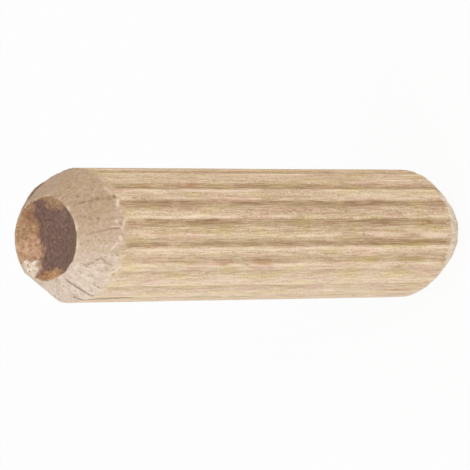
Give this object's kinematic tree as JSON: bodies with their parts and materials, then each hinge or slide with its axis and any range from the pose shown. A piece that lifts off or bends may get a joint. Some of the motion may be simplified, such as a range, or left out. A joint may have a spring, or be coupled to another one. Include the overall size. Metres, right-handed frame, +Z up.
{
  "type": "dowel pin",
  "caption": "Straight fluted wooden dowel pin with a chamfer at each end and one torn end face, for glued peg joints.",
  "frame": {"origin": "on the pin's axis, at the clean end face that it stands on", "axes": "+Z up along the pin from its clean end to its broken end, +X along the middle of one flute"},
  "size_m": [0.008, 0.008, 0.035],
  "materials": {
    "wood": "raw, sawn and fluted, no coating"
  },
  "bodies": {
    "root": {"dowel_pin": "wood"}
  },
  "joints": []
}
